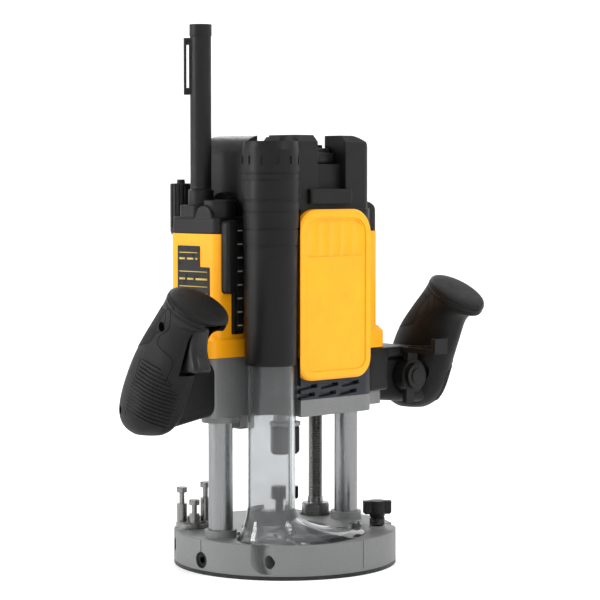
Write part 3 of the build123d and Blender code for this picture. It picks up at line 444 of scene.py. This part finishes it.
# The right grip's leaning axis and the oval top of its head, in mm. The left grip mirrors them.
GRIP_FOOT = (136.0, -9.0, 136.0)
GRIP_LEAN = 0.42
RAY_START = 0.06                        # metres from the axis, outside the grip
HEAD_CENTRE = (134.0, -55.2, 203.7)
HEAD_TILT = radians(29.5)
RIM_RADII = (20.6, 24.6)
RIM_STEPS = 72
DOME_RADII = (20.75, 24.95)
DOME_RINGS = ((1.0, -0.8), (0.995, 0.0), (0.975, 0.7), (0.93, 1.25), (0.85, 1.7), (0.7, 2.1), (0.4, 2.5))


def flank_track(tree, line, side, outer):
    """Points and normals on one flank of a grip, along a line of (y, z) points."""
    hits = [land(tree, y, z, side, outer) for y, z in along(line, 1.0)]
    return [hit for hit in hits if hit[0] is not None]


def wrap(tree, side, angle, z):
    """Point and normal of a grip's skin at a height, at an angle from its outer side round to its front."""
    x, y, foot_z = GRIP_FOOT
    axis = Vector((side * x, y - GRIP_LEAN * (z - foot_z), z)) * MM
    way = Vector((side * cos(angle), -sin(angle), 0.0))
    place, normal, _, _ = tree.ray_cast(axis + way * RAY_START, -way)
    return place, normal


def detail_grip(side, label):
    """Rough pads, seams, finger ribs, and a rim and a seam round the head, on one handle; seams, rib border and head
    seam are near-black strips of painted groove shade.
    """
    whole = skin("handle_%s_outer" % label, "handle_%s_inner" % label)
    for flank, outer in (("outer", True), ("inner", False)):
        tree = skin("handle_%s_%s" % (label, flank))
        points, faces = raised_panel(tree, side, outer, PAD_FRONT, PAD_BACK, 0.35)
        add_piece("pad_%s_%s" % (label, flank), points, faces, rubber, "grip_plastic")
        seams = [flank_track(tree, line, side, outer) for line in (PAD_SEAM, THUMB_SEAM)]
        add_strips("seams_%s_%s" % (label, flank), seams, 0.9, 0.12, seam_groove_shade, "grip_plastic")
    ribs = []
    for index in range(RIB_COUNT):
        t = index / (RIB_COUNT - 1)
        start, end = radians(RIB_START), radians(min(RIB_END_LIMIT, RIB_END + RIB_END_GROWTH * t))
        z0, drop = TOP_RIB_Z - RIB_RANGE * t, min(RIB_DROP_LIMIT, RIB_DROP + RIB_DROP_GROWTH * t)
        shares = [k / RIB_STEPS for k in range(RIB_STEPS + 1)]
        track = [wrap(whole, side, start + (end - start) * u, z0 - drop * u ** RIB_CURVE) for u in shares]
        ribs.append([hit for hit in track if hit[0] is not None])
    add_strips("ribs_" + label, ribs, 1.6, 0.9, finishes["grip_plastic"], "grip_plastic")
    border = [flank_track(skin("handle_%s_outer" % label), RIB_BORDER, side, True)]
    add_strips("rib_border_" + label, border, 0.9, 0.12, seam_groove_shade, "grip_plastic")
    x, y, z = HEAD_CENTRE
    for name, down, width, lift, finish in (("head_rim_", 2.2, 2.4, 0.35, finishes["grip_plastic"]),
                                            ("head_seam_", 5.4, 0.9, 0.12, seam_groove_shade)):
        rim = []
        for step in range(RIM_STEPS + 1):
            angle = 2 * pi * step / RIM_STEPS
            depth = RIM_RADII[1] * sin(angle)
            spot = Vector((side * (x + RIM_RADII[0] * cos(angle)),
                           y + depth * cos(HEAD_TILT) + down * sin(HEAD_TILT),
                           z + depth * sin(HEAD_TILT) - down * cos(HEAD_TILT)))
            place, normal, _, _ = whole.find_nearest(spot * MM)
            rim.append((place, normal))
        add_strips(name + label, [rim], width, lift, finish, "grip_plastic")


def crown_head(side, label):
    """Low dome over the flat oval top of a grip's head."""
    x, y, z = HEAD_CENTRE
    centre = Vector((side * x, y, z))
    across, along_head = Vector((1, 0, 0)), Vector((0, cos(HEAD_TILT), sin(HEAD_TILT)))
    up = Vector((0, -sin(HEAD_TILT), cos(HEAD_TILT)))
    turns = 64
    points, faces = [], []
    for share, lift in DOME_RINGS:
        for k in range(turns):
            angle = 2 * pi * k / turns
            points.append((centre + across * (DOME_RADII[0] * share * cos(angle))
                           + along_head * (DOME_RADII[1] * share * sin(angle)) + up * lift) * MM)
    for row in range(len(DOME_RINGS) - 1):
        for k in range(turns):
            i, j = row * turns + k, row * turns + (k + 1) % turns
            faces.append((i, j, j + turns, i + turns))
    faces.append(tuple(range(turns)))
    faces.append(tuple(range(len(points) - turns, len(points))))
    add_piece("head_dome_" + label, points, faces, finishes["grip_plastic"], "grip_plastic")


rubber = moulded("grip_rubber_pad", srgb(20, 20, 20), 0.72, 0.9, 0.10, 1.3, 0.05)
# Near-black strips along the grips' seams, rib borders and head seams: painted shade standing for the shadow in their
# grooves
seam_groove_shade = moulded("grip_seam_painted_shade", srgb(5, 5, 5), 0.8, 0.95, 0.002)
for grip_side, grip_name in ((-1, "left"), (1, "right")):
    detail_grip(grip_side, grip_name)
    crown_head(grip_side, grip_name)


# Along the trigger's height: share of the height, front edge back from the box's front, half width.
TRIGGER_STATIONS = (
    (0.0, 1.0, 7.2), (0.02, 0.3, 7.7), (0.05, 0.0, 8.0), (0.11, 0.1, 8.0), (0.18, 0.8, 7.8), (0.30, 2.2, 7.6),
    (0.45, 3.3, 7.5), (0.60, 3.2, 7.5), (0.75, 2.3, 7.6), (0.90, 1.2, 7.8), (0.97, 0.8, 7.8), (1.0, 1.1, 7.4))
TRIGGER_TAIL, TRIGGER_TAIL_TAPER = 8.0, 7.0


def make_trigger():
    """Trigger with a dished front, rounded edges and a lip at its foot, in place of the plain CAD one."""
    low, high = (Vector(corner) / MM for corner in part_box("trigger"))
    middle, top, bottom = (low.x + high.x) / 2, high.z, low.z
    rounding, turns = 4.2, 8
    points, faces = [], []
    for share, back, half in TRIGGER_STATIONS:
        z = bottom + share * (top - bottom)
        front, rear = low.y + back, high.y + TRIGGER_TAIL - TRIGGER_TAIL_TAPER * share
        row = [(-half, rear)]
        for k in range(turns + 1):
            angle = pi / 2 * k / turns
            row.append((-half + rounding * (1 - cos(angle)), front + rounding * (1 - sin(angle))))
        row += [(-x, y) for x, y in reversed(row)]
        points += [Vector((middle + x, y, z)) * MM for x, y in row]
    count = len(points) // len(TRIGGER_STATIONS)
    for row in range(len(TRIGGER_STATIONS) - 1):
        for k in range(count):
            i, j = row * count + k, row * count + (k + 1) % count
            faces.append((i, j, j + count, i + count))
    faces.append(tuple(range(count)))
    faces.append(tuple(range(len(points) - count, len(points))))
    piece = add_piece("trigger_form", points, faces, finishes["gloss_black"], "gloss_black", "trigger")
    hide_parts("trigger")


make_trigger()


def soft_boxes(name, boxes, finish, slot):
    """One piece made of boxes (x0, x1, y0, y1, z0, z1, edge radius), in mm, with rounded edges."""
    form = bmesh.new()
    for x0, x1, y0, y1, z0, z1, radius in boxes:
        made = bmesh.ops.create_cube(form, size=1.0)["verts"]
        for vert in made:
            vert.co = Vector(((x0 + x1) / 2 + vert.co.x * (x1 - x0), (y0 + y1) / 2 + vert.co.y * (y1 - y0),
                              (z0 + z1) / 2 + vert.co.z * (z1 - z0))) * MM
        edges = [edge for edge in form.edges if edge.verts[0] in made]
        bmesh.ops.bevel(form, geom=edges, offset=radius * MM, segments=5, profile=0.5, affect="EDGES")
    form.verts.index_update()
    points = [vert.co.copy() for vert in form.verts]
    faces = [tuple(vert.index for vert in face.verts) for face in form.faces]
    form.free()
    return add_piece(name, points, faces, finish, slot)


def fin(radius, thickness, z0, z1, start, end):
    """Upright wall along an arc about the spindle, as points and faces; mm and degrees."""
    steps, shoulder = 24, z1 - 0.6
    outline = ((radius, z0), (radius + thickness, z0), (radius + thickness, shoulder), (radius + thickness / 2, z1),
               (radius, shoulder))
    points, faces = [], []
    for k in range(steps + 1):
        angle = radians(start + (end - start) * k / steps)
        points += [Vector((r * cos(angle), r * sin(angle), z)) * MM for r, z in outline]
    count = len(outline)
    for k in range(steps):
        for j in range(count):
            i, n = count * k + j, count * k + (j + 1) % count
            faces.append((i, n, n + count, i + count))
    faces.append(tuple(range(count)))
    faces.append(tuple(range(len(points) - count, len(points))))
    return points, faces


def rounded_node(name, node, centre, radii, voxel_mm, passes):
    """Stands for a moulded CAD node: the same form with one swelling more, its edges softened."""
    form = bmesh.new()
    form.from_mesh(nodes[node].data)
    for vert in bmesh.ops.create_uvsphere(form, u_segments=32, v_segments=20, radius=1.0)["verts"]:
        vert.co = Vector([place + radius * c for place, radius, c in zip(centre, radii, vert.co)]) * MM
    mesh = bpy.data.meshes.new(name)
    form.to_mesh(mesh)
    form.free()
    draft = bpy.data.objects.new(name + "_draft", mesh)
    bpy.context.scene.collection.objects.link(draft)
    remesh = draft.modifiers.new("voxels", "REMESH")
    remesh.mode = "VOXEL"
    remesh.voxel_size = voxel_mm * MM
    smooth = draft.modifiers.new("soft", "SMOOTH")
    smooth.factor = 0.5
    smooth.iterations = passes
    shaped = draft.evaluated_get(bpy.context.evaluated_depsgraph_get()).to_mesh()
    points = [vert.co.copy() for vert in shaped.vertices]
    faces = [tuple(face.vertices) for face in shaped.polygons]
    bpy.data.objects.remove(draft)
    piece = add_piece(name, points, faces, finishes[slot_of[node]], slot_of[node])
    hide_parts(node)


# Boxes for soft_boxes, then fins as (name, radius, top z, from degrees, to degrees); all in mm.
SCALE_CHANNEL_BOXES = ((-75.6, -64.4, -20.0, -10.0, 208.0, 261.9, 3.2),
                       (-66.0, -56.0, -16.0, -12.5, 178.0, 261.9, 0.6))
LOCK_COVER_BOXES = ((66.0, 89.0, -25.0, -16.0, 127.0, 160.6, 3.0), (84.0, 119.5, -24.2, 14.0, 151.4, 160.4, 3.4))
CROWN_FINS = (("crown_fin_a", 33.4, 315.5, -105.5, -57.5), ("crown_fin_b", 37.4, 312.0, -103.5, -60.5))
FIN_THICKNESS, FIN_FOOT_Z = 1.6, 302.5

moulding = finishes["black_plastic"]
channel = soft_boxes("scale_channel_form", SCALE_CHANNEL_BOXES, moulding, "black_plastic")
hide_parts("scale_channel")
soft_boxes("lock_cover", LOCK_COVER_BOXES, moulding, "black_plastic")
for fin_name, fin_r, fin_top, fin_start, fin_end in CROWN_FINS:
    add_piece(fin_name, *fin(fin_r, FIN_THICKNESS, FIN_FOOT_Z, fin_top, fin_start, fin_end), moulding, "black_plastic")
rounded_node("side_cap_left_form", "side_cap_left", (-67.0, 24.0, 261.0), (12.2, 14.0, 12.5), 0.6, 8)


def add_spring(name):
    """A copy of a CAD return spring, with a mesh of its own, which rides the base in place of the CAD one."""
    mesh = nodes[name].data
    points = [vert.co.copy() for vert in mesh.vertices]
    faces = [tuple(face.vertices) for face in mesh.polygons]
    piece = add_piece(name + "_form", points, faces, finishes[slot_of[name]], slot_of[name], "base")
    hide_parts(name)
    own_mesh(piece)


add_spring("plunge_spring_left")
add_spring("plunge_spring_right")


# Rules on the rating plate: (z, y from, y to) in mm. Every second one is thicker, and broken.
PLATE_ROWS = [(z, 7.0, 27.5) for z in (238.0, 233.5)]
PLATE_ROWS += [(z, -4.0, 27.5) for z in (224.0, 218.5, 213.0, 207.5, 202.0, 196.5)]
THIN_HALF, THICK_HALF = 0.3, 0.7
INK_DEPTHS = (-0.00012, 0.0003)         # metres from the plate's outer face, outside it and inside it
BOX_QUADS = ((0, 1, 2, 3), (4, 5, 6, 7), (0, 1, 5, 4), (1, 2, 6, 5), (2, 3, 7, 6), (3, 0, 4, 7))


def add_plate_lines():
    """Blank printed rules on the rating plate, without any lettering."""
    low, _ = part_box("rating_plate")
    x = low[0]
    ink = moulded("plate_ink", srgb(205, 176, 84), 0.45, 0.6, 0.002)
    points, faces = [], []
    for index, (z, y0, y1) in enumerate(PLATE_ROWS):
        broken = index % 2 == 1
        breaks = (y1, y1 - 6.5, y1 - 9.0, y1 - 16.0, y1 - 18.5, y0) if broken else (y1, y0)
        half = THICK_HALF if broken else THIN_HALF
        for a, b in zip(breaks[::2], breaks[1::2]):
            first = len(points)
            corners = ((a, -half), (b, -half), (b, half), (a, half))
            for dx in INK_DEPTHS:
                points += [Vector((x + dx, y * MM, (z + dz) * MM)) for y, dz in corners]
            faces += [tuple(first + i for i in quad) for quad in BOX_QUADS]
    add_piece("plate_lines", points, faces, ink, "label")


add_plate_lines()


# ---- stage, all in metres -----------------------------------------------------------------------
FLOOR_RADIUS, CURVE_RADIUS, WALL_TOP = 2.2, 1.6, 5.0
CURVE_STEPS, ROUND_STEPS = 12, 72
CAMERA_AT, CAMERA_TARGET = (-1.095, -1.179, 0.295), (0.0084, -0.0079, 0.2001)
LENS_MM, SENSOR_MM = 126.7, 36.0


def paper(name):
    """Matt white card with a faint glow of its own, which keeps the background white."""
    g = Graph(name)
    fibre = g.noise(14.0, 4.0, 0.6)
    g.put("Base Color", g.mix(fibre, srgb(247, 247, 247), srgb(252, 252, 252)))
    g.put("Roughness", g.swing(fibre, 0.88, 0.98))
    g.put("Specular IOR Level", 0.15)
    g.put("Emission Color", (1.0, 1.0, 1.0, 1.0))
    g.put("Emission Strength", 0.2)
    return g.material


def make_backdrop():
    """Pale floor that curves up into a wall on every side."""
    mesh = bpy.data.meshes.new("backdrop")
    form = bmesh.new()
    rings = [(FLOOR_RADIUS * t, 0.0) for t in (0.25, 0.5, 0.75, 1.0)]
    for step in range(1, CURVE_STEPS + 1):
        angle = step * pi / (2 * CURVE_STEPS)
        rings.append((FLOOR_RADIUS + CURVE_RADIUS * sin(angle), CURVE_RADIUS * (1 - cos(angle))))
    rings.append((FLOOR_RADIUS + CURVE_RADIUS, WALL_TOP))
    turns = [2 * pi * i / ROUND_STEPS for i in range(ROUND_STEPS)]
    centre = form.verts.new((0, 0, 0))
    previous = None
    for radius, height in rings:
        loop = [form.verts.new((radius * cos(turn), radius * sin(turn), height)) for turn in turns]
        for i in range(ROUND_STEPS):
            j = (i + 1) % ROUND_STEPS
            if previous is None:
                form.faces.new((centre, loop[i], loop[j]))
            else:
                form.faces.new((previous[i], loop[i], loop[j], previous[j]))
        previous = loop
    form.to_mesh(mesh)
    form.free()
    mesh.shade_smooth()
    floor = bpy.data.objects.new("backdrop", mesh)
    bpy.context.scene.collection.objects.link(floor)
    mesh.materials.append(paper("backdrop_paper"))


def add_light(name, at, target, size, watts):
    """Round white area light that faces its target."""
    data = bpy.data.lights.new(name, "AREA")
    data.shape = "DISK"
    data.size = size
    data.energy = watts
    lamp = bpy.data.objects.new(name, data)
    lamp.location = at
    lamp.rotation_euler = (Vector(target) - Vector(at)).to_track_quat("-Z", "Y").to_euler()
    bpy.context.scene.collection.objects.link(lamp)


def add_world(strength):
    """Even white light from all round."""
    world = bpy.data.worlds.new("studio")
    world.use_nodes = True
    bpy.context.scene.world = world
    background = world.node_tree.nodes["Background"]
    background.inputs["Color"].default_value = (1, 1, 1, 1)
    background.inputs["Strength"].default_value = strength


def add_camera():
    """Long-lens view from the photograph's angle."""
    data = bpy.data.cameras.new("view")
    data.sensor_width = SENSOR_MM
    data.lens = LENS_MM
    data.clip_end = 50
    camera = bpy.data.objects.new("view", data)
    camera.location = CAMERA_AT
    camera.rotation_euler = (Vector(CAMERA_TARGET) - camera.location).to_track_quat("-Z", "Y").to_euler()
    bpy.context.scene.collection.objects.link(camera)
    bpy.context.scene.camera = camera


make_backdrop()
add_world(0.5)
add_light("key", (0.6, -1.9, 1.5), (0, 0, 0.2), 0.7, 16)
add_light("left", (-2.1, 1.2, 0.7), (0, 0, 0.2), 0.7, 25)
add_light("rim", (1.2, 1.6, 1.6), (0, 0, 0.25), 0.8, 17)
add_light("top", (-0.2, -0.3, 2.4), (0, 0, 0.2), 1.0, 9)
add_camera()
bpy.context.scene.view_settings.view_transform = "Standard"
